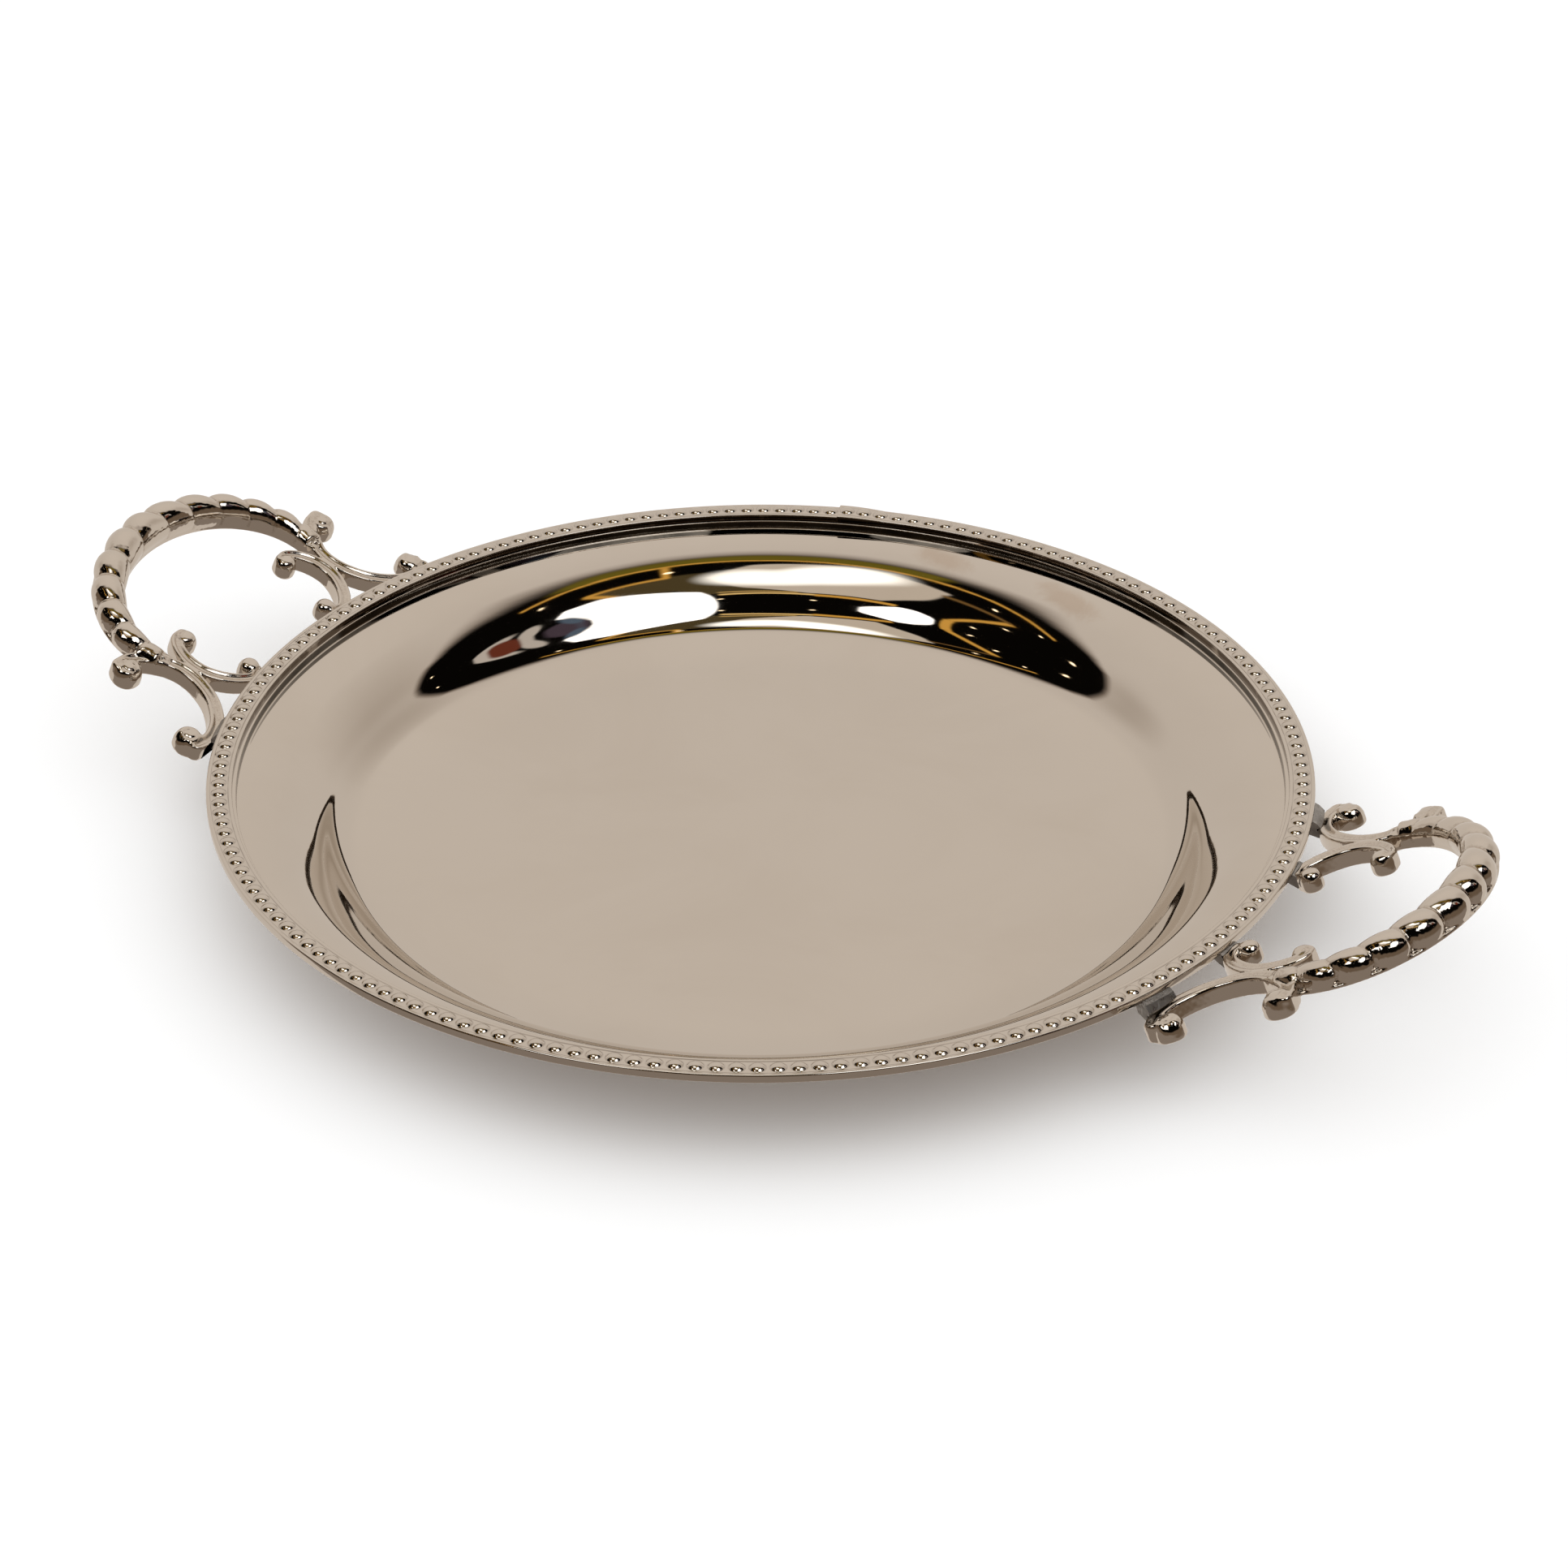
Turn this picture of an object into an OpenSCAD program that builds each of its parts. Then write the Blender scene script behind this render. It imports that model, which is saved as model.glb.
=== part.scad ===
// Round two-handled serving tray. Millimetres, +Z up.
// Origin: centre of the flat base, on its underside. The handles lie along X,
// the lapped seam of the border is at the back, on the +Y side.

/* [Pan] */
// Outer diameter across the beaded border
rim_d = 350; // [340:1:360]
// Depth from the top of the border to the inside of the base
depth = 28.7; // [26:0.1:31]
// Thickness of the spun sheet
sheet = 1.0; // [0.8:0.1:1.2]
// Steepest angle of the side wall
wall_angle = 50; // [44:1:56]
// Angle at which the flange starts, just inside the border
flange_angle = 4; // [2:0.5:6]

/* [Border] */
// Width of the border seen from above
border_w = 8.2; // [7.6:0.1:9]
// Height of the outer skirt of the border
skirt_h = 2.7; // [2.4:0.1:3.2]
// Thickness of the border strip
strip_t = 0.5; // [0.4:0.05:0.6]
// Number of beads round the border
bead_n = 182; // [170:2:186]
// Width of one bead
bead_d = 4.8; // [4.2:0.1:5]
// Height of a bead above the strip
bead_h = 1.2; // [0.9:0.05:1.4]
// Direction of the lapped seam from +X
seam_angle = 109.5; // [60:0.5:120]
// Length of the lap at the seam, rounded to whole beads
lap_len = 6; // [4:0.5:12]

/* [Handles] */
// Upward tilt of each handle
tilt = 23; // [20:0.5:26]
// Angle by which each soldered handle sits off the X axis, towards the front
handle_skew = 0.7; // [0:0.1:2]
// Depth of the scroll brackets below their top edge
stem_h = 5.8; // [5:0.1:6.5]
// Depth of the rolled scroll ends
knob_h = 6.4; // [6:0.1:7.4]
// Width of a scroll stem
stem_w = 5.2; // [4.6:0.1:5.6]
// Height of the largest lobe above the stems
lobe_h = 6.2; // [5:0.1:6.6]
// Number of lobes on the bow
lobe_n = 11; // [11:2:11]

/* [Hidden] */
$fn = 96;

R = rim_d / 2;                  // outer radius of the border
top = depth + sheet;            // height of the flat top of the border
rim_z = top - 1.9;              // top face of the pan's narrow outer rim
flange_z = top - 4.9;           // where the flange meets the step
step_r = R - border_w - 1.1;    // inner face of the step below the border
lip_r = R - border_w;           // inner face of the border
plane_z = top - 1.7;            // top edge of the handle stems at the rim
bow_d = 5.2;                    // depth of the bow's base below the stems' top

// ---- pan ----------------------------------------------------------------
// The sheet's upper face as (radius, height), from the step inwards: arcs laid end
// to end. The slope grows from the flange angle to the wall angle, then falls back
// to zero; the last, widest arc is the slight dish of the floor.
arc_a = [flange_angle, 31, 39, wall_angle, 33, 12, 0];   // slope at each joint
arc_r = [33, 74, 33, 28.5, 9.5, 87];                     // radius of each arc
arc_n = [6, 2, 3, 4, 4, 3];                              // straight pieces in each
na = len(arc_r);
function reach(i, a) = arc_r[i] * abs(sin(a) - sin(arc_a[i]));
function fall(i, a) = arc_r[i] * abs(cos(a) - cos(arc_a[i]));
function reach_to(n) = n <= 0 ? 0 : reach(n - 1, arc_a[n]) + reach_to(n - 1);
function fall_to(n) = n <= 0 ? 0 : fall(n - 1, arc_a[n]) + fall_to(n - 1);
fit = (flange_z - sheet) / fall_to(na);   // scales the arcs to the height there is
base_r = step_r - fit * reach_to(na);     // radius of the flat part of the base
upper = concat(
    [[R - 0.6, rim_z], [step_r, rim_z], [step_r, flange_z]],
    [for (i = [0:na - 1], j = [1:arc_n[i]])
        let (a = arc_a[i] + (arc_a[i + 1] - arc_a[i]) * j / arc_n[i])
        [step_r - fit * (reach_to(i) + reach(i, a)),
         flange_z - fit * (fall_to(i) + fall(i, a))]]);
// the lower face: every upper point moved one sheet thickness along the normal
un = len(upper);
function dirn(i) = let (a = upper[max(i - 1, 0)], b = upper[min(i + 1, un - 1)],
    d = b - a, l = norm(d)) [-d[1] / l, d[0] / l];
lower = concat(
    [[R - 0.6, rim_z - sheet], [step_r + sheet, rim_z - sheet],
     [step_r + sheet, flange_z - sheet]],
    [for (i = [3:un - 2]) upper[i] + sheet * dirn(i)],
    [[base_r, 0], [0, 0]]);

module tray_pan() {
    color([0.74, 0.69, 0.63])
    rotate_extrude($fn = 180)
        polygon(concat(upper, [[0, sheet]], [for (i = [len(lower) - 1:-1:0]) lower[i]]));
}

// ---- border -------------------------------------------------------------
// Section of the stamped strip: top, inner lip and outer skirt
module strip_section(grow = 0) {
    translate([lip_r - grow, top - strip_t]) square([border_w + 2 * grow, strip_t + grow]);
    translate([lip_r - grow, rim_z]) square([strip_t + grow, top - rim_z - strip_t / 2]);
    translate([R - strip_t, top - skirt_h]) square([strip_t + grow, skirt_h - strip_t / 2]);
}

slit = 0.8;                             // gap between the strip's two ends
slit_a = slit / R * 180 / PI;
lap_a = round(lap_len / R * 180 / PI * bead_n / 360) * 360 / bead_n; // whole beads
lap_t = 0.3;                            // how far the lapped end stands proud
bite = 0.1;                             // overlap that joins it to the strip
bead_r = R - border_w / 2;              // radius of the ring of beads
bead_s = (bead_d * bead_d / 4 + bead_h * bead_h) / (2 * bead_h);

// One bead: the cap of a sphere standing on the strip
module bead() {
    intersection() {
        translate([0, 0, bead_h - bead_s]) sphere(r = bead_s, $fn = 48);
        translate([-bead_d, -bead_d, -strip_t / 2]) cube([2 * bead_d, 2 * bead_d, bead_h + strip_t]);
    }
}

module beaded_border() {
    color([0.78, 0.73, 0.67]) union() {
        rotate([0, 0, seam_angle + slit_a / 2])
            rotate_extrude(angle = 360 - slit_a, $fn = 180) strip_section();
        // the end that laps over the other one
        rotate([0, 0, seam_angle - lap_a])
            rotate_extrude(angle = lap_a + slit_a * 0.75, $fn = 180)
                difference() {
                    strip_section(lap_t);
                    translate([lip_r + bite, 0]) square([border_w - 2 * bite, top - bite]);
                }
        for (i = [0:bead_n - 1])
            rotate([0, 0, seam_angle + (i + 0.5) * 360 / bead_n])
                translate([bead_r, 0, top]) bead();
    }
}

module border_solder() {
    color([0.55, 0.54, 0.52])
    rotate_extrude($fn = 180)
        translate([lip_r + strip_t, rim_z])
            square([border_w - 2 * strip_t, top - rim_z - strip_t]);
}

module seam_solder() {
    color([0.6, 0.59, 0.56])
    rotate([0, 0, seam_angle - slit_a / 2])
        rotate_extrude(angle = slit_a, $fn = 180)
            intersection() {
                strip_section();
                translate([lip_r + bite, 0]) square([border_w - 2 * bite, top - bite]);
            }
}

// ---- handles ------------------------------------------------------------
// All handle work is in the handle's own plane: X away from the tray, Y along
// the rim, Z = 0 at the top edge of the stems.

// smooth curve through hand-placed points
function cr(p, i, t) = let (n = len(p) - 1, a = p[max(i - 1, 0)], b = p[i],
    c = p[min(i + 1, n)], d = p[min(i + 2, n)])
    0.5 * ((2 * b) + (c - a) * t + (2 * a - 5 * b + 4 * c - d) * t * t
           + (3 * b - a - 3 * c + d) * t * t * t);
function curve(p, m) = concat(
    [for (i = [0:len(p) - 2], j = [0:m - 1]) cr(p, i, j / m)], [p[len(p) - 1]]);
function side(c, i) = let (a = c[max(i - 1, 0)], b = c[min(i + 1, len(c) - 1)],
    d = b - a, l = norm([d[0], d[1]])) [-d[1] / l, d[0] / l];
// ribbon of varying width: points are [x, y, width]
module ribbon(p, m = 3) {
    q = curve(p, m);
    n = len(q) - 1;
    polygon(concat(
        [for (i = [0:n]) [q[i][0], q[i][1]] + side(q, i) * q[i][2] / 2],
        [for (i = [n:-1:0]) [q[i][0], q[i][1]] - side(q, i) * q[i][2] / 2]));
}

w = stem_w;
// outer scroll of a bracket, from its foot to the end beside the bow
outer_c = [[-7.2, 68.5, w], [-8.2, 62.5, w], [-5.4, 54.8, w], [1, 48, w], [8.6, 44.2, w],
           [15.5, 43.1, w], [21.5, 44.5, w], [26.8, 48, w], [30.8, 53, w], [31.8, 58.3, w]];
// inner scroll, from its foot to the ball in the finger gap
inner_c = [[0.2, 22.9, 3.6], [-0.8, 27, 4.2], [2.0, 32, w - 0.4], [7, 36.2, w], [12.5, 38.4, w],
           [18.4, 38.3, w], [23.4, 36.2, w - 0.4], [26.8, 32.8, 4.2], [27.2, 29.4, 3.6]];
foot_knob = [-3.0, 67, 4.8];
bow_knob = [28.8, 57.4, 5.0];
foot_ball = [3.4, 22.9, 3.7];
gap_ball = [25, 29.8, 3.8];

// the bow: half an ellipse, inner edge bow_a deep and bow_b wide
bow_c = 29;
bow_a = 30.8;
bow_b = 42.4;
bow_end = 97;
function bow_half(f) = 5.6 - 2.2 * pow(abs(f) / bow_end, 1.6);
function bow_pt(f) = let (h = bow_half(f))
    [bow_c + (bow_a + h) * cos(f), (bow_b + h) * sin(f)];
function bow_tan(f) = let (d = bow_pt(f + 1) - bow_pt(f - 1)) d / norm(d);
bow = [for (i = [0:24]) let (f = -bow_end + 2 * bow_end * i / 24)
    concat(bow_pt(f), [2 * bow_half(f)])];

module scroll_plan() {
    ribbon(outer_c);
    ribbon(inner_c);
}

module bracket() {
    translate([0, 0, -stem_h]) linear_extrude(stem_h) ribbon(outer_c);
    translate([0, 0, -stem_h]) linear_extrude(stem_h) ribbon(inner_c);
    for (q = [foot_knob, bow_knob, foot_ball, gap_ball])
        translate([q[0], q[1], -knob_h]) cylinder(r = q[2], h = knob_h + 0.6, $fn = 48);
}

// lobe k of the bow, counted from the middle; the lobes shrink to the ends
function lobe_f(k) = 15.7 * k;
function lobe_r(k) = 6.6 - 0.07 * k * k;

module bow_bar() {
    intersection() {
        union() {
            translate([0, 0, -bow_d]) linear_extrude(bow_d)
                ribbon(bow, 1);
            // core that joins the lobes
            translate([0, 0, -1]) linear_extrude(lobe_h * 0.52 + 1)
                ribbon([for (p = bow) [p[0], p[1], p[2] * 0.66]], 1);
            for (k = [-(lobe_n - 1) / 2:(lobe_n - 1) / 2])
                translate(concat(bow_pt(lobe_f(k)), [lobe_h - lobe_r(0) - 0.3 * abs(k) + 0.02 * k * k]))
                    sphere(r = lobe_r(k), $fn = 48);
        }
        translate([-20, -90, -bow_d]) cube([120, 180, 40]);
    }
}

module handle_body() {
    bow_bar();
    bracket();
    mirror([0, 1, 0]) bracket();
}

// the feet are filed to the curve of the border
module filed() {
    difference() {
        children();
        translate([0, 0, -50]) cylinder(r = R + 0.1, h = 120, $fn = 360);
    }
}

// place a handle drawn in its own plane at the rim, turned by a about Z
module at_rim(a) {
    rotate([0, 0, a]) filed() translate([R, 0, plane_z]) rotate([0, -tilt, 0]) children();
}

module right_handle() {
    color([0.70, 0.66, 0.60]) at_rim(-handle_skew) handle_body();
}

module left_handle() {
    color([0.70, 0.66, 0.60]) at_rim(180 + handle_skew) handle_body();
}

// ---- solder at the feet -------------------------------------------------
// A low blob from the skirt and the rim's underside out to the foot
module web(a, half, out, rise, low) {
    rotate([0, 0, a - half])
        rotate_extrude(angle = 2 * half, $fn = 180)
            polygon([[R - 3.4, rim_z - sheet], [R - strip_t, rim_z - sheet],
                     [R - strip_t, top - skirt_h], [R, top - skirt_h], [R, top - 2],
                     [R + 0.45 * out, top - 2 - 0.3 * (rise - 2)],
                     [R + out, top - rise], [R + out, top - low],
                     [R - 1.4, top - low + 1.4]]);
}

module foot_solder() {
    difference() {
        for (s = [-1, 1]) {
            web(s * 19.4, 1.9, 3.2, 4.6, 8);
            web(s * 8.3, 1.4, 2.2, 3, 6.4);
        }
        translate([R, 0, plane_z]) rotate([0, -tilt, 0]) for (m = [0, 1]) mirror([0, m, 0]) {
            translate([0, 0, -stem_h]) linear_extrude(stem_h) ribbon(outer_c);
            translate([0, 0, -stem_h]) linear_extrude(stem_h) ribbon(inner_c);
            for (q = [foot_knob, foot_ball])
                translate([q[0], q[1], -knob_h]) cylinder(r = q[2], h = knob_h + 0.6, $fn = 48);
        }
    }
}

module right_handle_solder() {
    color([0.5, 0.49, 0.47]) rotate([0, 0, -handle_skew]) foot_solder();
}

module left_handle_solder() {
    color([0.5, 0.49, 0.47]) rotate([0, 0, 180 + handle_skew]) foot_solder();
}

tray_pan();
beaded_border();
border_solder();
seam_solder();
right_handle();
left_handle();
right_handle_solder();
left_handle_solder();
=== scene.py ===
"""Round serving tray with a beaded border and two cast scroll handles.

Metres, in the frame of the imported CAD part. Lengths inside the shape
functions are millimetres and are scaled once, when a mesh is made.
"""
import math

import bmesh
import bpy
import numpy as np
from mathutils import Matrix, Vector


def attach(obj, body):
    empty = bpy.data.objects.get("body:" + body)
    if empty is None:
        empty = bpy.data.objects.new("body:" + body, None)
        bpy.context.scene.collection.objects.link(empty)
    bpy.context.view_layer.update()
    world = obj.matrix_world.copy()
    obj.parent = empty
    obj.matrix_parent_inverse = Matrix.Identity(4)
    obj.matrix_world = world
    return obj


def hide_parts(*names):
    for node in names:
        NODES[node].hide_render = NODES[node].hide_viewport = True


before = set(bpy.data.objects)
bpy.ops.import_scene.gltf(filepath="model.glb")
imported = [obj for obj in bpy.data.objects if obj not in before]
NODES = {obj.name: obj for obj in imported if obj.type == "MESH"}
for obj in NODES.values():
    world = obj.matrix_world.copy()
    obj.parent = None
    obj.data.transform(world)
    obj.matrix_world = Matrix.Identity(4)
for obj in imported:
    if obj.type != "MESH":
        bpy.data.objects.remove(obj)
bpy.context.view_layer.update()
MM = 0.001

# ---- shared sizes, the same as the CAD's ---------------------------------
R = 175.0
R_OUT = 174.94          # just inside the CAD's faceted rim
TOP = 29.7
SHEET = 1.0
BORDER_W = 8.2
RIM_Z = TOP - 1.9
FLANGE_Z = TOP - 4.9
STEP_R = R - BORDER_W - 1.1
LIP_R = R - BORDER_W
PLANE_Z = TOP - 1.7
TILT = 23.0
SKEW = 0.7
SEAM = 109.5
BEAD_N = 182
SEGS = 720


# ---- mesh helpers ---------------------------------------------------------
def mesh_object(name, verts, faces, mat, sharp=None, outward=True):
    """An object from vertices in millimetres."""
    me = bpy.data.meshes.new(name)
    v = np.asarray(verts, np.float64) * MM
    me.from_pydata(v.tolist(), [], [list(map(int, f)) for f in faces])
    me.update()
    if outward:
        bm = bmesh.new()
        bm.from_mesh(me)
        bmesh.ops.recalc_face_normals(bm, faces=bm.faces)
        bm.to_mesh(me)
        bm.free()
    me.shade_smooth()
    if sharp is not None:
        me.set_sharp_from_angle(angle=math.radians(sharp))
    me.materials.append(mat)
    o = bpy.data.objects.new(name, me)
    bpy.context.scene.collection.objects.link(o)
    return o


def rounded(points, radii, steps=6):
    """A polyline with its corners rounded off."""
    p = [np.array(q, float) for q in points]
    out = []
    n = len(p)
    for i in range(n):
        r = radii[i]
        if r <= 0:
            out.append(p[i])
            continue
        a, b, c = p[(i - 1) % n], p[i], p[(i + 1) % n]
        u, v = (a - b), (c - b)
        lu, lv = np.linalg.norm(u), np.linalg.norm(v)
        u, v = u / lu, v / lv
        half = math.acos(max(-1.0, min(1.0, float(u @ v)))) / 2
        cut = min(r / math.tan(half), lu * 0.49, lv * 0.49)
        rr = cut * math.tan(half)
        mid = (u + v) / np.linalg.norm(u + v)
        centre = b + mid * (rr / math.sin(half))
        s, e = b + u * cut, b + v * cut
        a0 = math.atan2(*(s - centre)[::-1])
        a1 = math.atan2(*(e - centre)[::-1])
        d = (a1 - a0 + math.pi) % (2 * math.pi) - math.pi
        for k in range(steps + 1):
            t = a0 + d * k / steps
            out.append(centre + rr * np.array([math.cos(t), math.sin(t)]))
    return out


def lathe(name, profile, mat, segs, sharp=None):
    """Turns a closed outline of (radius, height) about Z. Points on the axis become one vertex."""
    verts, rings = [], []
    ang = np.arange(segs) * 2 * math.pi / segs
    for r, z in profile:
        if r < 1e-6:
            rings.append([len(verts)] * segs)
            verts.append((0, 0, z))
        else:
            rings.append(list(range(len(verts), len(verts) + segs)))
            verts.extend(zip(r * np.cos(ang), r * np.sin(ang), np.full(segs, z)))
    faces = []
    n = len(profile)
    for i in range(n):
        a, b = rings[i], rings[(i + 1) % n]
        if a[0] == a[1] and b[0] == b[1]:
            continue
        for k in range(segs):
            k2 = (k + 1) % segs
            if a[0] == a[1]:
                faces.append((a[0], b[k], b[k2]))
            elif b[0] == b[1]:
                faces.append((a[k], b[0], a[k2]))
            else:
                faces.append((a[k], b[k], b[k2], a[k2]))
    return mesh_object(name, verts, faces, mat, sharp)


# ---- node helpers ---------------------------------------------------------
class Graph:
    """Small helper for writing node maths."""

    def __init__(self, tree):
        self.t = tree
        self.n = tree.nodes
        self.l = tree.links

    def node(self, kind, **props):
        o = self.n.new(kind)
        for k, v in props.items():
            setattr(o, k, v)
        return o

    def put(self, socket, value):
        if isinstance(value, bpy.types.NodeSocket):
            self.l.new(value, socket)
        elif value is not None:
            socket.default_value = value

    def m(self, op, a, b=None, c=None, clamp=False):
        o = self.node("ShaderNodeMath", operation=op, use_clamp=clamp)
        for i, v in enumerate((a, b, c)):
            if v is not None:
                self.put(o.inputs[i], v)
        return o.outputs[0]

    def ramp(self, x, lo, hi, a=0.0, b=1.0, smooth=True):
        o = self.node("ShaderNodeMapRange", interpolation_type="SMOOTHSTEP" if smooth else "LINEAR")
        self.put(o.inputs["Value"], x)
        self.put(o.inputs["From Min"], lo)
        self.put(o.inputs["From Max"], hi)
        self.put(o.inputs["To Min"], a)
        self.put(o.inputs["To Max"], b)
        return o.outputs["Result"]

    def mix(self, f, a, b):
        o = self.node("ShaderNodeMix", data_type="RGBA")
        self.put(o.inputs[0], f)
        self.put(o.inputs[6], a)
        self.put(o.inputs[7], b)
        return o.outputs[2]

    def noise(self, vec, scale, detail=3.0, rough=0.5, dist=0.0):
        o = self.node("ShaderNodeTexNoise")
        self.put(o.inputs["Vector"], vec)
        o.inputs["Scale"].default_value = scale
        o.inputs["Detail"].default_value = detail
        o.inputs["Roughness"].default_value = rough
        o.inputs["Distortion"].default_value = dist
        return o.outputs["Fac"]


def rgb(r, g, b):
    return (r, g, b, 1.0)


def srgb(r, g, b, gain=1.0):
    def f(c):
        c /= 255.0
        return gain * (c / 12.92 if c <= 0.04045 else ((c + 0.055) / 1.055) ** 2.4)
    return (f(r), f(g), f(b), 1.0)


def new_material(name):
    m = bpy.data.materials.new(name)
    m.use_nodes = True
    g = Graph(m.node_tree)
    bsdf = m.node_tree.nodes["Principled BSDF"]
    bsdf.inputs["Metallic"].default_value = 1.0
    return m, g, bsdf


# ---- materials --------------------------------------------------------------
NICKEL = (0.71, 0.655, 0.59)


def polished_nickel():
    """Mirror-bright sheet: faint cloudy film, brown patches on the far flange, painted shade on the step's wall, fine
    spinning rings.
    """
    m, g, b = new_material("polished_nickel")
    co = g.node("ShaderNodeTexCoord").outputs["Object"]
    cloud = g.noise(co, 14.0, 4.0, 0.6, 0.6)
    film = g.noise(co, 42.0, 5.0, 0.65, 1.2)
    base = g.mix(g.ramp(cloud, 0.35, 0.75, 0.0, 1.0), rgb(*NICKEL), rgb(0.685, 0.628, 0.56))
    # brown, slightly rougher patches on the flange, near the seam
    sep = g.node("ShaderNodeSeparateXYZ")
    g.put(sep.inputs[0], co)
    x, y = sep.outputs[0], sep.outputs[1]

    def patch(cx, cy, rx, ry, ang):
        ca, sa = math.cos(math.radians(ang)), math.sin(math.radians(ang))
        dx, dy = g.m("SUBTRACT", x, cx), g.m("SUBTRACT", y, cy)
        u = g.m("ADD", g.m("MULTIPLY", dx, ca / rx), g.m("MULTIPLY", dy, sa / rx))
        v = g.m("ADD", g.m("MULTIPLY", dx, -sa / ry), g.m("MULTIPLY", dy, ca / ry))
        d = g.m("SQRT", g.m("ADD", g.m("MULTIPLY", u, u), g.m("MULTIPLY", v, v)))
        d = g.m("ADD", d, g.m("MULTIPLY", g.m("SUBTRACT", film, 0.5), 1.6))
        return g.ramp(d, 0.35, 1.1, 1.0, 0.0)

    brown_patch = g.m("MAXIMUM", patch(-0.016, 0.158, 0.014, 0.006, -5), patch(0.036, 0.152, 0.016, 0.005, -20))
    base = g.mix(g.m("MULTIPLY", brown_patch, 0.34), base, rgb(0.50, 0.36, 0.24))
    z = sep.outputs[2]
    # painted shade: the step's wall under the border's lip is made near-black, standing in for the shadow in that gap
    step_shade = g.m("MULTIPLY", g.ramp(z, (FLANGE_Z + 0.25) * MM, (FLANGE_Z + 0.5) * MM), g.ramp(z, (RIM_Z - 0.2) * MM, (RIM_Z - 0.45) * MM))
    rad = g.m("SQRT", g.m("ADD", g.m("MULTIPLY", x, x), g.m("MULTIPLY", y, y)))
    step_shade = g.m("MULTIPLY", step_shade, g.ramp(rad, (STEP_R + 0.3) * MM, (STEP_R + 0.1) * MM))
    base = g.mix(g.m("MULTIPLY", step_shade, g.ramp(film, 0.25, 0.7, 0.97, 0.85)), base, rgb(0.008, 0.007, 0.005))
    g.put(b.inputs["Base Color"], base)
    rough = g.ramp(film, 0.3, 0.8, 0.022, 0.05)
    g.put(b.inputs["Roughness"], g.m("ADD", rough, g.m("MULTIPLY", brown_patch, 0.09)))
    # fine rings left by spinning, and a slow waviness
    r = g.m("SQRT", g.m("ADD", g.m("MULTIPLY", x, x), g.m("MULTIPLY", y, y)))
    line = g.node("ShaderNodeCombineXYZ")
    g.put(line.inputs[0], r)
    rings = g.noise(line.outputs[0], 700.0, 3.0)
    wave = g.noise(co, 16.0, 1.0)
    bump = g.node("ShaderNodeBump")
    bump.inputs["Strength"].default_value = 1.0
    bump.inputs["Distance"].default_value = 0.0000025
    g.put(bump.inputs["Height"], g.m("ADD", rings, g.m("MULTIPLY", wave, 55.0)))
    g.put(b.inputs["Normal"], bump.outputs[0])
    return m


def border_nickel():
    """The stamped strip: bright, darker round each bead's foot and in its grooves, with painted shade on the inner
    lip, and softer polish.
    """
    m, g, b = new_material("stamped_nickel")
    co = g.node("ShaderNodeTexCoord").outputs["Object"]
    dark_marks_and_shade = g.node("ShaderNodeAttribute", attribute_name="dark_marks_and_shade").outputs["Fac"]
    wear = g.noise(co, 160.0, 4.0, 0.6)
    # darker round each bead's foot and in the strip's grooves, and painted shade on the inner lip
    base = g.mix(g.m("MULTIPLY", dark_marks_and_shade, g.ramp(wear, 0.25, 0.7, 0.15, 0.6)), rgb(0.70, 0.645, 0.58), rgb(0.14, 0.11, 0.085))
    g.put(b.inputs["Base Color"], base)
    g.put(b.inputs["Roughness"], g.ramp(wear, 0.3, 0.8, 0.04, 0.10))
    bump = g.node("ShaderNodeBump")
    bump.inputs["Strength"].default_value = 0.18
    bump.inputs["Distance"].default_value = 0.0002
    g.put(bump.inputs["Height"], g.m("ADD", g.m("MULTIPLY", g.noise(co, 300.0, 3.0), 0.12), g.m("MULTIPLY", g.noise(co, 60.0, 2.0), 0.4)))
    g.put(b.inputs["Normal"], bump.outputs[0])
    return m


def cast_nickel():
    """Plated casting: polished on the crests, pitted and dark in the recesses."""
    m, g, b = new_material("cast_nickel")
    co = g.node("ShaderNodeTexCoord").outputs["Object"]
    pit = g.node("ShaderNodeAttribute", attribute_name="recess").outputs["Fac"]
    grain = g.noise(co, 1500.0, 3.0, 0.6)
    lump = g.noise(co, 420.0, 3.0, 0.55)
    rough_zone = g.m("MULTIPLY", pit, g.ramp(lump, 0.3, 0.65, 0.4, 1.0))
    base = g.mix(g.m("MULTIPLY", rough_zone, g.ramp(grain, 0.35, 0.7, 0.15, 0.85)), rgb(0.72, 0.66, 0.59), rgb(0.34, 0.27, 0.20))
    g.put(b.inputs["Base Color"], base)
    g.put(b.inputs["Roughness"], g.m("ADD", g.ramp(lump, 0.3, 0.8, 0.05, 0.10), g.m("MULTIPLY", rough_zone, 0.10)))
    bump = g.node("ShaderNodeBump")
    bump.inputs["Strength"].default_value = 0.18
    bump.inputs["Distance"].default_value = 0.0003
    h = g.m("ADD", g.m("MULTIPLY", lump, 0.35), g.m("MULTIPLY", grain, g.m("MULTIPLY_ADD", rough_zone, 0.5, 0.01)))
    g.put(bump.inputs["Height"], h)
    g.put(b.inputs["Normal"], bump.outputs[0])
    return m


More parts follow.
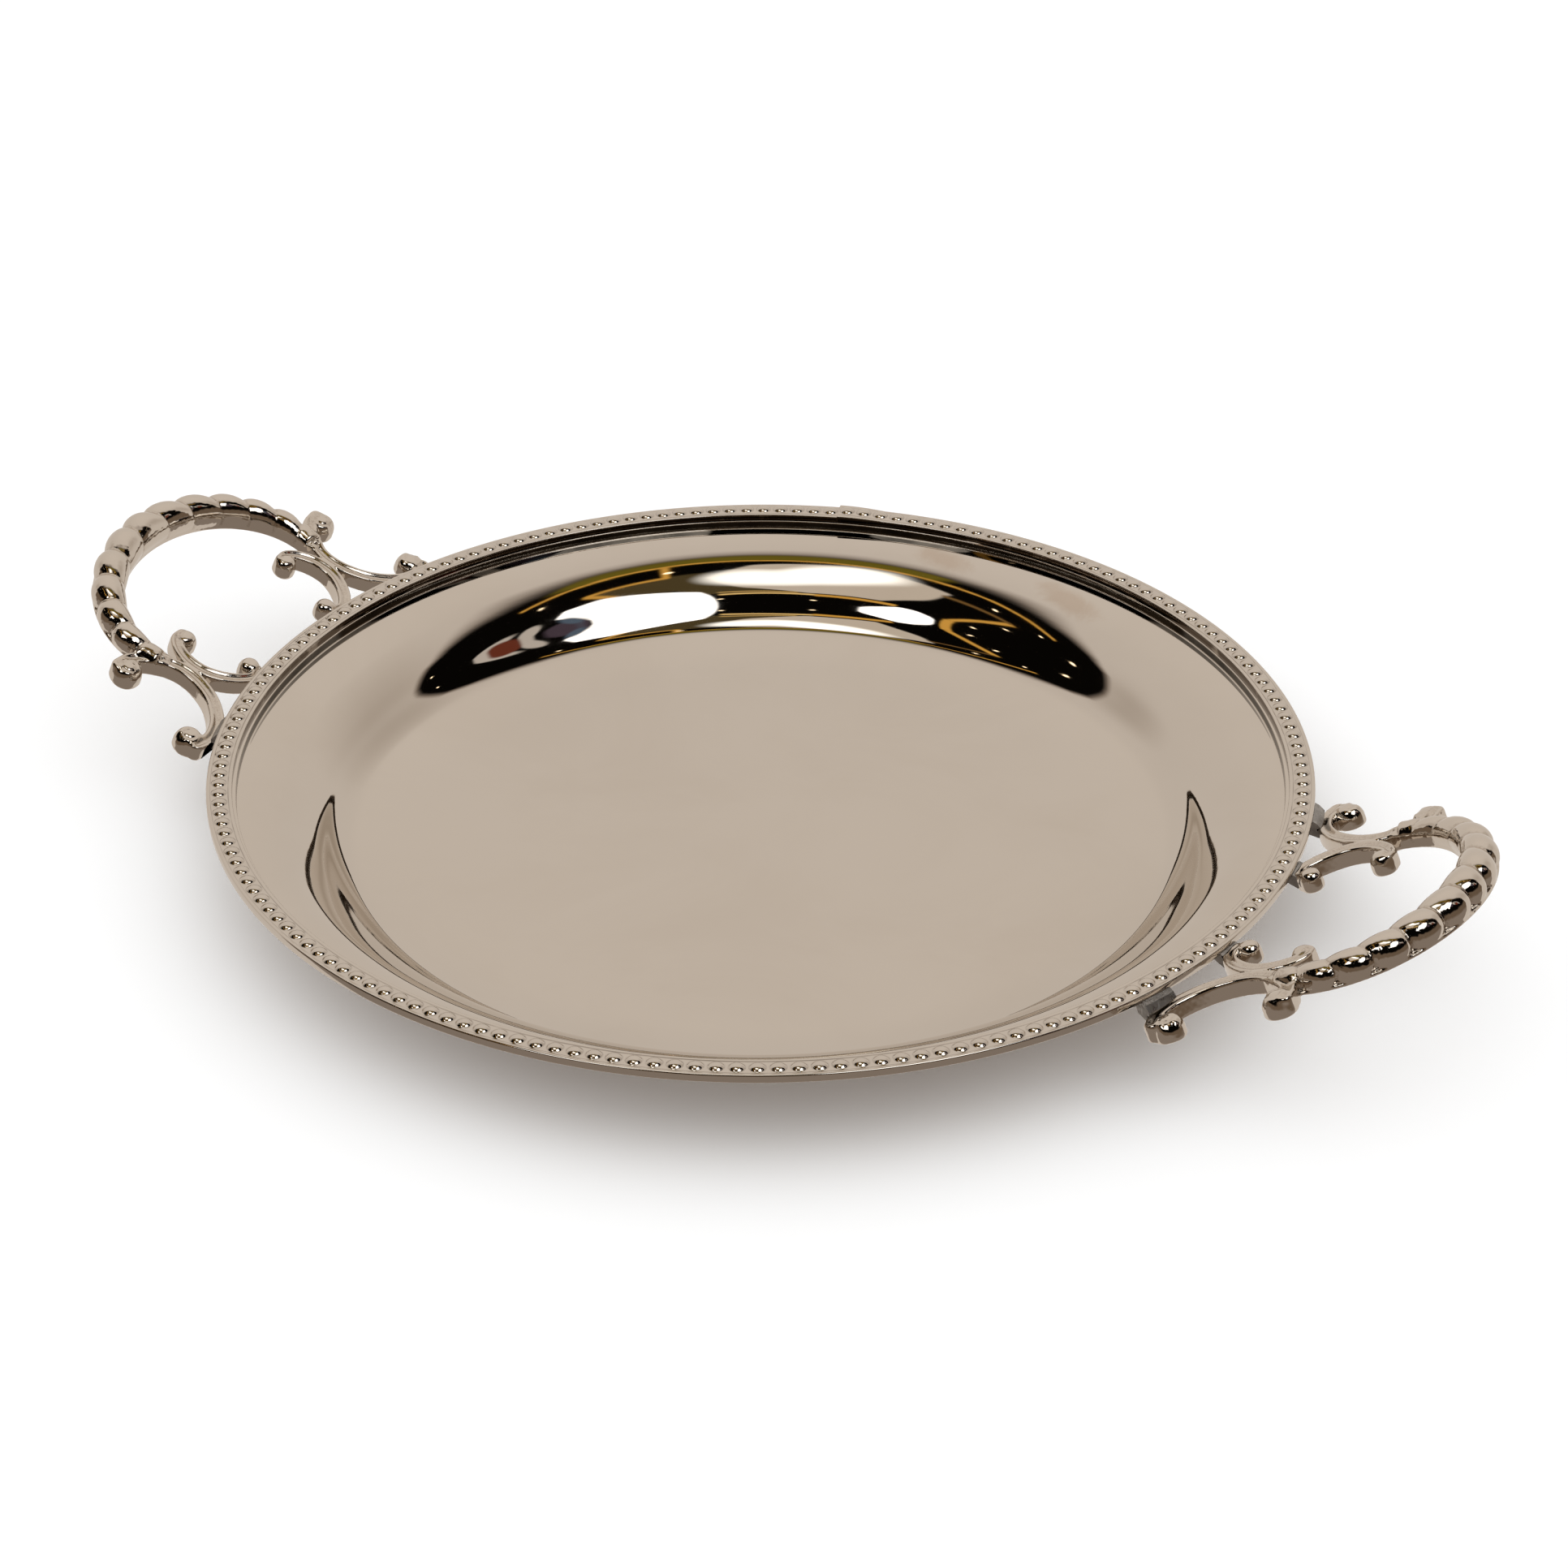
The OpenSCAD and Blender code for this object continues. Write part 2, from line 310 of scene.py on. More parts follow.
def solder_metal():
    """Dull grey soft solder, wiped while hot."""
    m, g, b = new_material("grey_solder")
    co = g.node("ShaderNodeTexCoord").outputs["Object"]
    a = g.noise(co, 520.0, 4.0, 0.6)
    c = g.noise(co, 140.0, 3.0, 0.6, 0.8)
    base = g.mix(g.ramp(c, 0.3, 0.7), rgb(0.40, 0.39, 0.375), rgb(0.25, 0.245, 0.24))
    g.put(b.inputs["Base Color"], base)
    g.put(b.inputs["Roughness"], g.ramp(a, 0.3, 0.75, 0.22, 0.48))
    bump = g.node("ShaderNodeBump")
    bump.inputs["Strength"].default_value = 0.6
    bump.inputs["Distance"].default_value = 0.0005
    g.put(bump.inputs["Height"], g.m("ADD", a, c))
    g.put(b.inputs["Normal"], bump.outputs[0])
    return m


M_PAN, M_BORDER, M_CAST, M_SOLDER = polished_nickel(), border_nickel(), cast_nickel(), solder_metal()


# ---- pan --------------------------------------------------------------------
def wall_profile():
    """Upper face from the step to the flat floor as (radius, height): the CAD's arcs, with a curvature that never jumps."""
    slope = np.radians([4, 31, 39, 50, 33, 12, 0])
    radius = np.array([33, 74, 33, 28.5, 9.5, 87])
    radius = radius * (FLANGE_Z - SHEET) / np.sum(radius * np.abs(np.diff(np.cos(slope))))
    step = 0.04
    s = []
    for rad, a, b in zip(radius, slope[:-1], slope[1:]):
        s += list(np.linspace(a, b, int(rad * abs(b - a) / step), endpoint=False))
    s = np.array(s + [0.0] * int(4 / step))
    w = int(1.6 / step)
    pad = np.concatenate([np.full(w, s[0]), s, np.full(w, s[-1])])
    kern = np.hanning(2 * w + 1)
    s = np.convolve(pad, kern / kern.sum(), "valid")
    r = STEP_R - np.concatenate([[0], np.cumsum(np.cos(s) * step)])
    z = FLANGE_Z - np.concatenate([[0], np.cumsum(np.sin(s) * step)])
    # bring the end exactly to the floor
    z = SHEET + (z - z[-1]) * (FLANGE_Z - SHEET) / (z[0] - z[-1])
    s = np.concatenate([s, [0.0]])
    keep = [0]
    for i in range(1, len(r)):
        j = keep[-1]
        if abs(s[i] - s[j]) > math.radians(0.8) or (i - j) * step > 1.3 or i == len(r) - 1:
            keep.append(i)
    return np.stack([r[keep], z[keep]], 1)


def build_pan():
    up = wall_profile()
    up = up[::-1]                                   # from the floor outwards
    d = np.gradient(up, axis=0)
    nrm = np.stack([d[:, 1], -d[:, 0]], 1)
    nrm /= np.linalg.norm(nrm, axis=1, keepdims=True)
    low = up + nrm * SHEET
    low[:, 1] = np.maximum(low[:, 1], 0.0)
    upper = [(0, SHEET)] + [(r, SHEET) for r in (20, 45, 70, 90, 102)] + [tuple(p) for p in up[:-1]]
    corner = rounded([tuple(up[-2]), (STEP_R, FLANGE_Z), (STEP_R, RIM_Z), (174.2, RIM_Z),
                      (174.2, RIM_Z - SHEET), (STEP_R + SHEET, RIM_Z - SHEET),
                      (STEP_R + SHEET, FLANGE_Z - SHEET), tuple(low[-3])],
                     [0, 0.35, 0.25, 0.3, 0.3, 0.5, 0.5, 0], 5)
    lower = [tuple(p) for p in low[:-3][::-1]] + [(r, 0.0) for r in (102, 90, 70, 45, 20)] + [(0, 0.0)]
    prof = upper + [tuple(p) for p in corner[1:]] + lower
    o = lathe("tray_pan_mesh", prof, M_PAN, SEGS, 50)
    return o


# ---- border -----------------------------------------------------------------
def build_border():
    """The strip as one skin, with the beads raised from it and the lapped end at the seam."""
    per = 22                       # samples per bead pitch
    n = BEAD_N * per
    # the section, from under the inner lip over the top and down the skirt, then back inside
    bead_c = R - BORDER_W / 2
    top = [(LIP_R, RIM_Z), (LIP_R, TOP - 0.35)]
    top += [(LIP_R + 0.35 - 0.35 * math.cos(a), TOP - 0.35 + 0.35 * math.sin(a)) for a in np.radians([20, 45, 70, 90])]
    top += [(LIP_R + 0.8, TOP), (LIP_R + 1.0, TOP - 0.03), (LIP_R + 1.15, TOP - 0.16), (LIP_R + 1.3, TOP - 0.16), (LIP_R + 1.45, TOP - 0.05)]
    inner, outer = bead_c - 2.5, bead_c + 2.5
    top += [(r, TOP - 0.04) for r in np.linspace(inner, outer, 30)]
    top += [(outer + 0.12, TOP - 0.10), (outer + 0.25, TOP - 0.16), (outer + 0.4, TOP - 0.12)]
    # rolled outer edge
    cr, cz, rr = R_OUT - 0.62, TOP - 0.62, 0.62
    top += [(cr + rr * math.sin(a), cz + rr * math.cos(a)) for a in np.radians([-35, -15, 5, 25, 45, 65, 85])]
    top += [(R_OUT, TOP - 1.5), (R_OUT, TOP - 2.3), (R_OUT - 0.06, TOP - 2.55), (R_OUT - 0.25, TOP - 2.7)]
    top += [(R_OUT - 0.5, TOP - 2.6), (R_OUT - 0.5, TOP - 1.2), (R_OUT - 1.1, TOP - 0.5),
            (bead_c, TOP - 0.5), (LIP_R + 0.9, TOP - 0.5), (LIP_R + 0.5, TOP - 1.0), (LIP_R + 0.5, RIM_Z)]
    prof = np.array(top)
    m = len(prof)
    ang = np.radians(SEAM) + np.arange(n) * 2 * math.pi / n
    rad = np.repeat(prof[:, 0][:, None], n, 1)
    z = np.repeat(prof[:, 1][:, None], n, 1)
    # beads
    pitch = 2 * math.pi / BEAD_N
    t = ((ang - np.radians(SEAM)) / pitch) % 1.0 - 0.5
    tang = t * pitch * bead_c
    is_top = np.zeros(m, bool)
    a, b, h = 2.4, 2.5, 1.2
    skin = (prof[:, 0] > inner - 0.01) & (prof[:, 0] < outer + 0.01) & (prof[:, 1] > TOP - 0.2)
    is_top[skin] = True
    d2 = ((rad - bead_c) / a) ** 2 + (tang[None, :] / b) ** 2
    cap_r = (a * a + h * h) / (2 * h)
    lift = np.sqrt(np.maximum(cap_r ** 2 - np.minimum(d2, 1.2) * a * a, 0)) - (cap_r - h)
    k = 0.10                                        # small fillet where a bead meets the strip
    lift = 0.5 * (lift + np.sqrt(lift * lift + k * k)) - 0.0
    lift = np.where(d2 > 1.19, 0.0, lift)
    z = z + np.where(is_top[:, None], np.maximum(lift, 0), 0)
    # a darker ring where each bead meets the strip
    edge = 0.7 * np.exp(-((np.sqrt(d2) - 1.0) / 0.06) ** 2)
    dark_marks_and_shade = np.where(is_top[:, None], edge, 0.0)
    # darker lines in the two small grooves of the strip
    groove = ((np.abs(prof[:, 0] - (LIP_R + 1.22)) < 0.16) | (np.abs(prof[:, 0] - (outer + 0.25)) < 0.1)) & (prof[:, 1] > TOP - 0.3) & (prof[:, 1] < TOP - 0.09)
    dark_marks_and_shade = np.maximum(dark_marks_and_shade, groove[:, None] * 0.8)
    dark_marks_and_shade[0:2] = 3.0                                  # the shaded inner lip
    # the end that laps over: it stands proud and stops sharply at the seam
    lap = 16.0 / R
    back = (np.radians(SEAM) - ang) % (2 * math.pi)
    proud = np.where(back < lap, 0.55 * (1 - np.clip(back / lap, 0, 1) ** 2), 0.0)
    outside = np.arange(m) < m - 7
    up_by = np.where(outside & (prof[:, 1] > TOP - 1.0), 1.0, 0.0)
    out_by = np.where(outside & (prof[:, 0] < LIP_R + 0.6), -0.8, 0.0)
    out_by = out_by + np.where(outside & (prof[:, 0] > R_OUT - 0.7), 0.9, 0.0)
    rad = rad + out_by[:, None] * proud[None, :]
    z = z + up_by[:, None] * proud[None, :]
    x, y = rad * np.cos(ang)[None, :], rad * np.sin(ang)[None, :]
    verts = np.stack([x, y, z], -1).reshape(-1, 3)
    i = np.arange(m)[:, None]
    j = np.arange(n)[None, :]
    i2, j2 = (i + 1) % m, (j + 1) % n
    q = np.stack([i * n + j, i * n + j2, i2 * n + j2, i2 * n + j], -1).reshape(-1, 4)
    o = mesh_object("beaded_border_mesh", verts, q, M_BORDER, 60)
    at = o.data.attributes.new("dark_marks_and_shade", "FLOAT", "POINT")
    at.data.foreach_set("value", dark_marks_and_shade.reshape(-1).astype(np.float32))
    return o


# ---- handles: a distance field in the handle's own plane -----------------------
W = 5.2
OUTER_C = [(-7.2, 68.5, W), (-8.2, 62.5, W), (-5.4, 54.8, W), (1, 48, W), (8.6, 44.2, W),
           (15.5, 43.1, W), (21.5, 44.5, W), (26.8, 48, W), (30.8, 53, W), (31.8, 58.3, W)]
INNER_C = [(0.2, 22.9, 3.6), (-0.8, 27, 4.2), (2.0, 32, 4.8), (7, 36.2, W), (12.5, 38.4, W),
           (18.4, 38.3, W), (23.4, 36.2, 4.8), (26.8, 32.8, 4.2), (27.2, 29.4, 3.6)]
# rolled ends: centre, radius, direction in which the roll is open (degrees)
ROLLS = [(-3.0, 67, 4.8, 60), (28.8, 57.4, 5.0, 170)]
BALLS = [(3.4, 22.9, 3.7), (25, 29.8, 3.8)]
STEM_H, KNOB_H, BOW_D = 5.8, 6.4, 5.2


def spline(p, m):
    p = np.array(p, float)
    out = []
    n = len(p) - 1
    for i in range(n):
        a, b, c, d = p[max(i - 1, 0)], p[i], p[i + 1], p[min(i + 2, n)]
        for j in range(m):
            t = j / m
            out.append(0.5 * ((2 * b) + (c - a) * t + (2 * a - 5 * b + 4 * c - d) * t * t
                              + (3 * b - a - 3 * c + d) * t ** 3))
    out.append(p[-1])
    return np.array(out)


def stroke(p, x, y):
    """Distance outside a stroke of varying width, the signed offset across it as a share of its half width, and the path length."""
    best = np.full(x.shape, 1e9)
    across = np.zeros(x.shape)
    along = np.zeros(x.shape)
    half = np.ones(x.shape)
    s0 = 0.0
    for a, b in zip(p[:-1], p[1:]):
        d = b[:2] - a[:2]
        ll = float(d @ d)
        ln = math.sqrt(ll)
        t = np.clip(((x - a[0]) * d[0] + (y - a[1]) * d[1]) / ll, 0, 1)
        ex, ey = x - (a[0] + t * d[0]), y - (a[1] + t * d[1])
        dist = np.sqrt(ex * ex + ey * ey)
        w = (a[2] + (b[2] - a[2]) * t) / 2
        e = dist - w
        m = e < best
        best = np.where(m, e, best)
        sign = np.where(d[0] * ey - d[1] * ex > 0, 1.0, -1.0)
        across = np.where(m, sign * dist, across)
        along = np.where(m, s0 + t * ln, along)
        half = np.where(m, w, half)
        s0 += ln
    return best, across, along, half


def smin(a, b, k):
    h = np.maximum(k - np.abs(a - b), 0.0) / k
    return np.minimum(a, b) - h * h * k * 0.25


def smax(a, b, k):
    return -smin(-a, -b, k)


def sstep(a, b, x):
    t = np.clip((x - a) / (b - a), 0, 1)
    return t * t * (3 - 2 * t)


def bow_half(f):
    return 5.6 - 2.2 * (np.abs(f) / 97.0) ** 1.6


def bow_pt(f):
    h = bow_half(f)
    fr = np.radians(f)
    return np.stack([29 + (30.8 + h) * np.cos(fr), (42.4 + h) * np.sin(fr)], -1)


def lobe_f(k):
    return 15.7 * k


def handle_field(x, y, z):
    """x, y are (n, m) arrays with y >= 0, z a vector. Returns the field and a map of the recesses."""
    zz = z[None, None, :]
    # stems
    parts = []
    recess = np.zeros(x.shape)
    for p in (OUTER_C, INNER_C):
        e, q, s, h = stroke(spline(p, 6), x, y)
        u = np.abs(q) / h
        crest = -0.65 * np.cos(0.5 * math.pi * np.clip(u / 0.72, 0, 1)) ** 2 - 0.45 * sstep(0.76, 1.1, u)
        f = smax(e[..., None], zz - crest[..., None], 0.9)
        f = smax(f, -STEM_H - zz, 0.9)
        parts.append(f)
        recess = np.maximum(recess, np.where(e < 0.4, 0.5 * (1 - sstep(0.3, 0.7, u)), 0))
    field = smin(parts[0], parts[1], 0.5)
    for cx, cy, r, gap in ROLLS:
        dx, dy = x - cx, y - cy
        rho = np.hypot(dx, dy)
        th = np.degrees(np.arctan2(dy, dx)) - gap
        th = (th + 180) % 360 - 180
        ring = np.exp(-((rho / r - 0.47) / 0.13) ** 2) * (1 - sstep(95, 140, np.abs(th)))
        open_ = np.exp(-((rho / r - 0.75) / 0.22) ** 2) * (1 - sstep(10, 42, np.abs(th)))
        crest = 0.6 - 1.8 * (rho / r) ** 4 - 0.45 * ring - 0.6 * open_
        f = smax((rho - r + 0.4 * open_)[..., None], zz - crest[..., None], 2.6)
        f = smax(f, -KNOB_H - zz, 1.2)
        field = smin(field, f, 0.9)
        recess = np.maximum(recess, 0.3 * np.clip(ring + open_, 0, 1))
    for cx, cy, r in BALLS:
        rho = np.hypot(x - cx, y - cy)
        crest = 0.6 - 1.5 * (rho / r) ** 3
        f = smax((rho - r)[..., None], zz - crest[..., None], 2.2)
        f = smax(f, -KNOB_H - zz, 2.0)
        field = smin(field, f, 0.8)
    # bow
    fs = np.linspace(-14, 97, 150)
    pts = bow_pt(fs)
    path = np.concatenate([pts, 2 * bow_half(fs)[:, None]], 1)
    e, q, s, h = stroke(path, x, y)
    q = -q                                          # outward is positive
    seg = np.concatenate([[0], np.cumsum(np.linalg.norm(np.diff(pts, axis=0), axis=1))])
    s = s - np.interp(0.0, fs, seg)                 # path length from the apex
    end = np.interp(97.0, fs, seg) - np.interp(0.0, fs, seg)
    # the rail under the lobes: its top falls away to the outside, below a smooth apron
    rail = smax(e[..., None], (zz + 3.9 * sstep(-0.9, 0.9, q / h)[..., None]) * 0.8, 0.5)
    # the lobes: one D-shaped section whose size swells and pinches along the bow
    ks = np.arange(0, 7)
    sk = np.interp(lobe_f(ks), fs, seg) - np.interp(0.0, fs, seg)
    lean = s + LOBE_SLANT * q * sstep(0.0, 0.6 * sk[1], np.abs(s)) * np.sign(s)
    kap = np.interp(np.abs(lean), sk, ks)
    tau = 2 * np.abs(kap - np.round(kap))
    tau = np.where(kap > 5.5, np.clip(1 - (kap - 5.5) * 4, 0, 1), tau)
    rad = 6.4 - 0.075 * kap * kap
    zc = -0.4 - 0.3 * kap + 0.02 * kap * kap
    aq = h + 0.7
    uq = ((q - 0.35) / aq)[..., None]
    uz = (zz - zc[..., None]) / rad[..., None]
    rr = np.sqrt(uq * uq + uz * uz) + 1e-6
    wq = np.clip(uq / rr, -1, 1)
    pinch = (0.19 + 0.13 * wq + 0.02 * wq * wq) * (np.minimum(tau, 1) ** 2.2)[..., None]
    lobes = (rr - 1 + pinch) * np.minimum(aq, rad)[..., None] * 0.9
    lobes = smax(lobes, (s - end)[..., None], 1.2)
    bow = smin(rail, lobes, 0.4)
    recess = np.maximum(recess, np.where(e < 1.5, 0.8 * sstep(0.82, 1.0, tau), 0))
    bow = smax(bow, -BOW_D - zz, 0.8)
    field = smin(field, bow, 0.8)
    # the uneven skin of a casting
    tl = math.radians(TILT)
    away = np.hypot(R + x[..., None] * math.cos(tl) - zz * math.sin(tl), y[..., None])
    field = smax(field, R + 0.12 - away, 0.3)          # filed to the curve of the border
    wob = (np.sin(x * 1.9 + 0.6 * np.sin(y * 1.3)) * np.sin(y * 2.3 + 1.1))[..., None] * np.sin(zz * 2.1 + 0.4)
    return field + 0.02 * wob, recess


LOBE_SLANT = 0.36


def surface_net(f, origin, h):
    """Quads round the zero level of a field sampled on a grid."""
    inside = f < 0
    nx, ny, nz = f.shape

    def cut(a, i, j, k):
        return a[i:nx - 1 + i, j:ny - 1 + j, k:nz - 1 + k]

    corners = [(i, j, k) for i in (0, 1) for j in (0, 1) for k in (0, 1)]
    count = sum(cut(inside, *c).astype(np.int8) for c in corners)
    active = (count > 0) & (count < 8)
    index = np.full(active.shape, -1, np.int64)
    n = int(active.sum())
    index[active] = np.arange(n)
    val = {c: cut(f, *c)[active] for c in corners}
    pos = np.zeros((n, 3))
    wt = np.zeros(n)
    for a in corners:
        for ax in range(3):
            if a[ax]:
                continue
            b = tuple(a[q] + (1 if q == ax else 0) for q in range(3))
            fa, fb = val[a], val[b]
            x = (fa < 0) != (fb < 0)
            t = np.where(x, fa / np.where(x, fa - fb, 1), 0)
            p = np.array(a, float)[None, :] + t[:, None] * (np.array(b) - np.array(a))[None, :]
            pos += p * x[:, None]
            wt += x
    pos = pos / wt[:, None] + np.argwhere(active)
    verts = origin + pos * h
    quads = []
    for ax in range(3):
        o1, o2 = [q for q in range(3) if q != ax]
        sl0, sl1 = [slice(1, -1)] * 3, [slice(1, -1)] * 3
        sl0[ax], sl1[ax] = slice(0, -1), slice(1, None)
        a, b = inside[tuple(sl0)], inside[tuple(sl1)]
        hit = np.argwhere(a != b)
        base = hit.copy()
        base[:, o1] += 1
        base[:, o2] += 1
        flip = a[tuple(hit.T)]

        def at(d1, d2):
            c = base.copy()
            c[:, o1] -= d1
            c[:, o2] -= d2
            return index[tuple(c.T)]

        q = np.stack([at(1, 1), at(0, 1), at(0, 0), at(1, 0)], 1)
        if ax == 1:
            flip = ~flip
        q[~flip] = q[~flip][:, ::-1]
        quads.append(q)
    return verts, np.concatenate(quads)


def relax(v, q, steps):
    """A few passes of plain then reversed smoothing, which evens the grid and keeps the size."""
    e = np.concatenate([q[:, [0, 1]], q[:, [1, 2]], q[:, [2, 3]], q[:, [3, 0]]])
    n = len(v)
    deg = np.bincount(e[:, 0], minlength=n) + np.bincount(e[:, 1], minlength=n)
    for lam in [0.55, -0.57] * steps:
        acc = np.zeros_like(v)
        for ax in range(3):
            acc[:, ax] = np.bincount(e[:, 0], v[e[:, 1], ax], n) + np.bincount(e[:, 1], v[e[:, 0], ax], n)
        v = v + lam * (acc / deg[:, None] - v)
    return v


def build_handle_mesh():
    h = 0.34
    xs = np.arange(-10, 74.5, h)
    ny = int(73.5 / h)
    ys = np.arange(0, ny + 1) * h
    zs = np.arange(-8.6, 8.2, h)
    x, y = np.meshgrid(xs, ys, indexing="ij")
    f, rec = handle_field(x, y, zs)
    f = np.concatenate([f[:, :0:-1], f], 1)
    rec = np.concatenate([rec[:, :0:-1], rec], 1)
    origin = np.array([xs[0], -ys[-1], zs[0]])
    v, q = surface_net(f, origin, h)
    v = relax(v, q, 5)
    ix = np.clip(((v[:, 0] - xs[0]) / h).round().astype(int), 0, rec.shape[0] - 1)
    iy = np.clip(((v[:, 1] + ys[-1]) / h).round().astype(int), 0, rec.shape[1] - 1)
    r = rec[ix, iy] * (v[:, 2] > -3.2)
    return v, q, r


def place(v, angle):
    t, a = math.radians(TILT), math.radians(angle)
    x = v[:, 0] * math.cos(t) - v[:, 2] * math.sin(t) + R
    z = v[:, 0] * math.sin(t) + v[:, 2] * math.cos(t) + PLANE_Z
    y = v[:, 1]
    return np.stack([x * math.cos(a) - y * math.sin(a), x * math.sin(a) + y * math.cos(a), z], 1)


def build_handles():
    v, q, rec = build_handle_mesh()
    out = []
    for name, ang in (("right_handle", -SKEW), ("left_handle", 180 + SKEW)):
        o = mesh_object(name + "_mesh", place(v, ang), q, M_CAST, None)
        at = o.data.attributes.new("recess", "FLOAT", "POINT")
        at.data.foreach_set("value", rec.astype(np.float32))
        out.append((o, name))
    return out


# ---- build ---------------------------------------------------------------------
pan = build_pan()
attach(pan, "root")
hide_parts("tray_pan")

border = build_border()
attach(border, "root")
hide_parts("beaded_border")

for o, node in build_handles():
    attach(o, "root")
    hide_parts(node)

for name in ("border_solder", "seam_solder", "right_handle_solder", "left_handle_solder"):
    o = NODES[name]
    o.data.materials.clear()
    o.data.materials.append(M_SOLDER)

# ---- floor -----------------------------------------------------------------------
floor_mat = bpy.data.materials.new("pale_floor")
floor_mat.use_nodes = True
fb = floor_mat.node_tree.nodes["Principled BSDF"]
fb.inputs["Base Color"].default_value = (0.97, 0.97, 0.97, 1)
fb.inputs["Roughness"].default_value = 0.9
fb.inputs["Specular IOR Level"].default_value = 0.1
S = 6000.0
floor = mesh_object("floor", [(-S, -S, -0.05), (S, -S, -0.05), (S, S, -0.05), (-S, S, -0.05)], [(0, 1, 2, 3)], floor_mat, outward=False)
floor.visible_glossy = False

# ---- studio: a pale room painted by direction -------------------------------------
world = bpy.data.worlds.new("studio")
bpy.context.scene.world = world
world.use_nodes = True
world.cycles.sampling_method = "NONE"
wt = world.node_tree
wt.nodes.clear()
g = Graph(wt)
YAW = 28.5                                  # the camera stands at this azimuth
turn = g.node("ShaderNodeVectorRotate", rotation_type="Z_AXIS")
g.put(turn.inputs["Vector"], g.node("ShaderNodeTexCoord").outputs["Generated"])
turn.inputs["Angle"].default_value = -math.radians(YAW)
sep = g.node("ShaderNodeSeparateXYZ")
g.put(sep.inputs[0], turn.outputs[0])
dx, dy, dz = sep.outputs
rho = g.m("MAXIMUM", g.m("SQRT", g.m("ADD", g.m("MULTIPLY", dx, dx), g.m("MULTIPLY", dy, dy))), 1e-4)
theta = g.m("DEGREES", g.m("ARCCOSINE", g.m("MAXIMUM", g.m("MINIMUM", dz, 1.0), -1.0)))
scale = g.m("DIVIDE", theta, rho)
PX = g.m("MULTIPLY", dx, scale)             # degrees from the zenith, to the right
PY = g.m("MULTIPLY", g.m("MULTIPLY", dy, scale), -1.0)   # and towards the camera


def halfplane(nx, ny, d, soft):
    """1 where nx*PX + ny*PY > d."""
    v = g.m("ADD", g.m("MULTIPLY", PX, nx), g.m("MULTIPLY_ADD", PY, ny, -d))
    return g.ramp(v, -soft, soft)


def polygon(pts, soft=0.6):
    """A convex polygon, corners in order."""
    n = len(pts)
    area = sum(pts[i][0] * pts[(i + 1) % n][1] - pts[(i + 1) % n][0] * pts[i][1] for i in range(n))
    sgn = 1 if area > 0 else -1
    out = None
    for i in range(n):
        (x0, y0), (x1, y1) = pts[i], pts[(i + 1) % n]
        ln = math.hypot(x1 - x0, y1 - y0)
        nx, ny = -(y1 - y0) / ln * sgn, (x1 - x0) / ln * sgn
        m = halfplane(nx, ny, nx * x0 + ny * y0, soft)
        out = m if out is None else g.m("MULTIPLY", out, m)
    return out


def line(x0, y0, x1, y1, w, soft=0.5):
    ln = math.hypot(x1 - x0, y1 - y0)
    ux, uy = (x1 - x0) / ln, (y1 - y0) / ln
    cx, cy = (x0 + x1) / 2, (y0 + y1) / 2
    u = g.m("ABSOLUTE", g.m("ADD", g.m("MULTIPLY", PX, ux), g.m("MULTIPLY_ADD", PY, uy, -(cx * ux + cy * uy))))
    v = g.m("ABSOLUTE", g.m("ADD", g.m("MULTIPLY", PX, -uy), g.m("MULTIPLY_ADD", PY, ux, -(-cx * uy + cy * ux))))
    return g.m("MULTIPLY", g.ramp(u, ln / 2 + soft, ln / 2 - soft), g.ramp(v, w / 2 + soft, max(w / 2 - soft, 0)))


def ellipse(cx, cy, rx, ry, ang=0.0, soft=0.06):
    ca, sa = math.cos(math.radians(ang)), math.sin(math.radians(ang))
    u = g.m("ADD", g.m("MULTIPLY", PX, ca / rx), g.m("MULTIPLY_ADD", PY, sa / rx, -(cx * ca + cy * sa) / rx))
    v = g.m("ADD", g.m("MULTIPLY", PX, -sa / ry), g.m("MULTIPLY_ADD", PY, ca / ry, -(-cx * sa + cy * ca) / ry))
    d = g.m("SQRT", g.m("ADD", g.m("MULTIPLY", u, u), g.m("MULTIPLY", v, v)))
    return g.ramp(d, 1 + soft, 1 - soft)


TAUPE = srgb(184, 170, 155)
ENV = tuple(TAUPE[i] / NICKEL[i] for i in range(3)) + (1.0,)
BROWN = (0.10, 0.06, 0.035, 1)
BLACK = (0.0025, 0.002, 0.0015, 1)


def along(pts):
    """Height of a polyline over PX."""
    total = None
    last = pts[0][1]
    for (x0, y0), (x1, y1) in zip(pts[:-1], pts[1:]):
        part = g.ramp(PX, x0, x1, 0.0, y1 - y0, smooth=False)
        total = part if total is None else g.m("ADD", total, part)
    return g.m("ADD", total, last)


# the backdrop's edge: soft and brown in the middle, sharp at both sides
bend = along([(-62, -16.7), (-48, -19.0), (-42, -17.4), (-34, -12.2), (-20, -6.4), (0, -4.6), (12, -3.6),
              (20, -4.2), (30, -7.6), (40, -14.2), (46, -16.6), (62, -17.0)])
side = g.m("SUBTRACT", PY, bend)
soft_w = g.ramp(g.m("ABSOLUTE", PX), 22.0, 44.0, 5.0, 1.2)
dark = g.ramp(side, g.m("MULTIPLY", soft_w, -1.0), 1.2)
shade = g.ramp(side, g.m("MULTIPLY", soft_w, -2.2), g.m("MULTIPLY", soft_w, -0.1))
# the table runs on below the horizon on the camera side too
low = g.ramp(theta, 66.0, 74.0)
dark = g.m("MULTIPLY", dark, g.ramp(theta, 98.0, 88.0))
